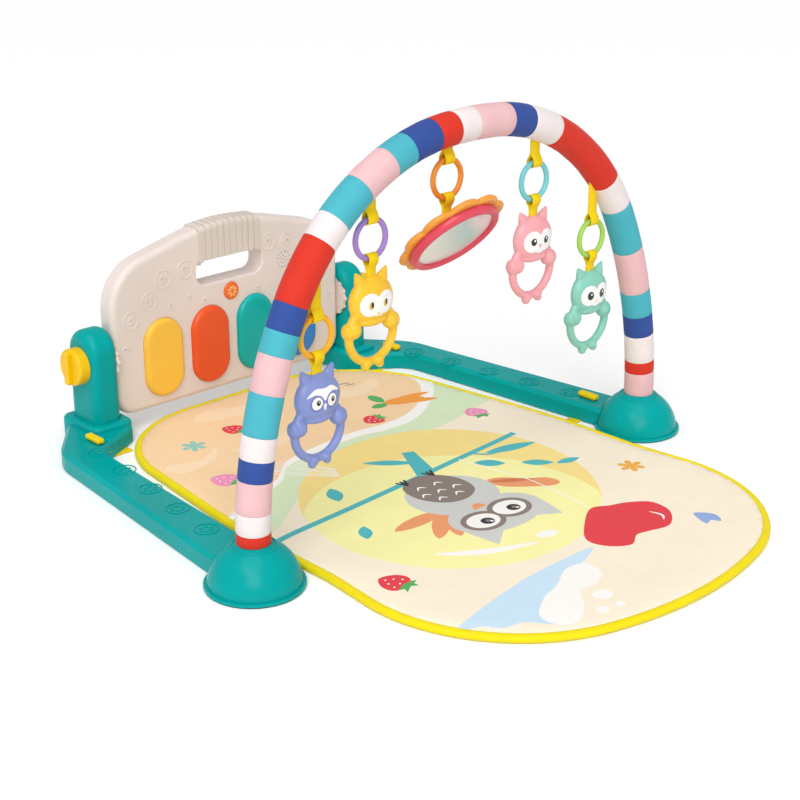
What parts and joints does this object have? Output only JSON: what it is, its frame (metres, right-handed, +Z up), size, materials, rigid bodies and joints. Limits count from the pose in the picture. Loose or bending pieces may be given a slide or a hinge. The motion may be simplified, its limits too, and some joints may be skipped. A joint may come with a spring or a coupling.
{
  "type": "activity play gym",
  "caption": "Baby activity gym: padded mat between two plastic legs, an upright piano panel that tilts, and a removable striped arch with hanging toys.",
  "frame": {"origin": "on the floor at the centre of the gym's bounding box", "axes": "+Z up, +Y towards the piano panel, +X to the right seen from the open end of the mat"},
  "size_m": [0.656, 0.737, 0.408],
  "materials": {
    "teal_plastic": "plain",
    "beige_plastic": "plain",
    "yellow_plastic": "plain",
    "key_yellow": "plain",
    "key_orange": "plain",
    "key_teal": "plain",
    "key_blue": "plain",
    "button_orange": "plain",
    "grip_rubber": "plain",
    "black_rubber": "plain",
    "steel": "plain",
    "board_green": "plain",
    "silicone_grey": "plain",
    "speaker_black": "plain",
    "cell_wrap": "plain",
    "grey_plastic": "plain",
    "tube_white": "plain",
    "sleeve_fabric": "plain",
    "ribbon_yellow": "plain",
    "mat_fabric": "plain",
    "binding_fabric": "plain",
    "webbing_yellow": "plain",
    "owl_blue": "plain",
    "owl_yellow": "plain",
    "owl_pink": "plain",
    "owl_mint": "plain",
    "ring_amber": "plain",
    "ring_purple": "plain",
    "ring_orange": "plain",
    "ring_teal": "plain",
    "ring_lime": "plain",
    "petal_orange": "plain",
    "bezel_red": "plain",
    "mirror_film": "plain"
  },
  "bodies": {
    "base": {"leg_left": "teal_plastic", "leg_right": "teal_plastic", "leg_base_left": "teal_plastic", "leg_base_right": "teal_plastic", "dome_left": "teal_plastic", "dome_right": "teal_plastic", "post_left": "teal_plastic", "post_right": "teal_plastic", "leg_screws": "steel", "rubber_feet": "black_rubber", "friction_washers": "black_rubber", "mat_pad": "mat_fabric", "mat_binding": "binding_fabric", "mat_straps": "webbing_yellow", "mat_toggles": "webbing_yellow"},
    "tilt_knob_left": {"knob_left": "yellow_plastic"},
    "tilt_knob_right": {"knob_right": "yellow_plastic"},
    "piano": {"pivot_bolts": "steel", "tilt_hubs": "beige_plastic", "panel_front": "beige_plastic", "panel_rear": "beige_plastic", "battery_door": "beige_plastic", "batteries": "cell_wrap", "handle_grip": "grip_rubber", "circuit_board": "board_green", "contact_pads": "silicone_grey", "speaker": "speaker_black", "panel_screws": "steel"},
    "yellow_key": {"key_1": "key_yellow"},
    "orange_key": {"key_2": "key_orange"},
    "teal_key": {"key_3": "key_teal"},
    "blue_key": {"key_4": "key_blue"},
    "sound_button": {"mode_button": "button_orange"},
    "switch_slider": {"power_switch": "grey_plastic"},
    "arch": {"arch_tube_left": "tube_white", "arch_tube_top": "tube_white", "arch_tube_right": "tube_white", "arch_couplers": "grey_plastic", "arch_ferrules": "teal_plastic", "arch_sleeve": "sleeve_fabric", "toy_loops": "ribbon_yellow"},
    "ring_blue": {"ring_owl_blue": "ring_amber"},
    "toy_blue": {"link_owl_blue": "ribbon_yellow", "owl_blue": "owl_blue"},
    "ring_yellow": {"ring_owl_yellow": "ring_purple"},
    "toy_yellow": {"link_owl_yellow": "ribbon_yellow", "owl_yellow": "owl_yellow"},
    "ring_mirror": {"ring_mirror": "ring_orange"},
    "toy_mirror": {"link_mirror": "ribbon_yellow", "mirror_back": "petal_orange", "mirror_bezel": "bezel_red", "mirror_glass": "mirror_film"},
    "ring_pink": {"ring_owl_pink": "ring_teal"},
    "toy_pink": {"link_owl_pink": "ribbon_yellow", "owl_pink": "owl_pink"},
    "ring_mint": {"ring_owl_mint": "ring_lime"},
    "toy_mint": {"link_owl_mint": "ribbon_yellow", "owl_mint": "owl_mint"}
  },
  "joints": [
    {"name": "piano_tilt", "type": "hinge", "parent": "base", "child": "piano", "pos_m": [0, 0.335, 0.092], "axis": [-1, 0, 0], "range_deg": [-20, 50]},
    {"name": "knob_left_turn", "type": "hinge", "parent": "base", "child": "tilt_knob_left", "pos_m": [-0.2028, 0.335, 0.092], "axis": [-1, 0, 0], "range_deg": [0, 180]},
    {"name": "knob_right_turn", "type": "hinge", "parent": "base", "child": "tilt_knob_right", "pos_m": [0.2028, 0.335, 0.092], "axis": [1, 0, 0], "range_deg": [0, 180]},
    {"name": "yellow_key_press", "type": "slide", "parent": "piano", "child": "yellow_key", "axis": [0, 1, 0], "range_m": [0, 0.003], "stiffness_N_per_m": 250},
    {"name": "orange_key_press", "type": "slide", "parent": "piano", "child": "orange_key", "axis": [0, 1, 0], "range_m": [0, 0.003], "stiffness_N_per_m": 250},
    {"name": "teal_key_press", "type": "slide", "parent": "piano", "child": "teal_key", "axis": [0, 1, 0], "range_m": [0, 0.003], "stiffness_N_per_m": 250},
    {"name": "blue_key_press", "type": "slide", "parent": "piano", "child": "blue_key", "axis": [0, 1, 0], "range_m": [0, 0.003], "stiffness_N_per_m": 250},
    {"name": "sound_button_press", "type": "slide", "parent": "piano", "child": "sound_button", "axis": [0, 1, 0], "range_m": [0, 0.002], "stiffness_N_per_m": 250},
    {"name": "power_switch_slide", "type": "slide", "parent": "piano", "child": "switch_slider", "axis": [1, 0, 0], "range_m": [-0.0035, 0.0035]},
    {"name": "arch_lift", "type": "slide", "parent": "base", "child": "arch", "axis": [0, 0, 1], "range_m": [0, 0.04]},
    {"name": "blue_ring_swing", "type": "hinge", "parent": "arch", "child": "ring_blue", "pos_m": [-0.2, -0.063, 0.2427], "axis": [1, 0, 0], "range_deg": [-45, 45]},
    {"name": "blue_toy_swing", "type": "hinge", "parent": "ring_blue", "child": "toy_blue", "pos_m": [-0.2, -0.063, 0.2053], "axis": [1, 0, 0], "range_deg": [-30, 30]},
    {"name": "yellow_ring_swing", "type": "hinge", "parent": "arch", "child": "ring_yellow", "pos_m": [-0.132, -0.063, 0.3217], "axis": [1, 0, 0], "range_deg": [-45, 45]},
    {"name": "yellow_toy_swing", "type": "hinge", "parent": "ring_yellow", "child": "toy_yellow", "pos_m": [-0.132, -0.063, 0.2843], "axis": [1, 0, 0], "range_deg": [-30, 30]},
    {"name": "mirror_ring_swing", "type": "hinge", "parent": "arch", "child": "ring_mirror", "pos_m": [-0.033, -0.063, 0.3617], "axis": [1, 0, 0], "range_deg": [-45, 45]},
    {"name": "mirror_toy_swing", "type": "hinge", "parent": "ring_mirror", "child": "toy_mirror", "pos_m": [-0.033, -0.063, 0.3243], "axis": [1, 0, 0], "range_deg": [-20, 30]},
    {"name": "pink_ring_swing", "type": "hinge", "parent": "arch", "child": "ring_pink", "pos_m": [0.091, -0.063, 0.3387], "axis": [1, 0, 0], "range_deg": [-45, 45]},
    {"name": "pink_toy_swing", "type": "hinge", "parent": "ring_pink", "child": "toy_pink", "pos_m": [0.091, -0.063, 0.3013], "axis": [1, 0, 0], "range_deg": [-30, 30]},
    {"name": "mint_ring_swing", "type": "hinge", "parent": "arch", "child": "ring_mint", "pos_m": [0.184, -0.063, 0.2617], "axis": [1, 0, 0], "range_deg": [-45, 45]},
    {"name": "mint_toy_swing", "type": "hinge", "parent": "ring_mint", "child": "toy_mint", "pos_m": [0.184, -0.063, 0.2243], "axis": [1, 0, 0], "range_deg": [-30, 30]}
  ]
}
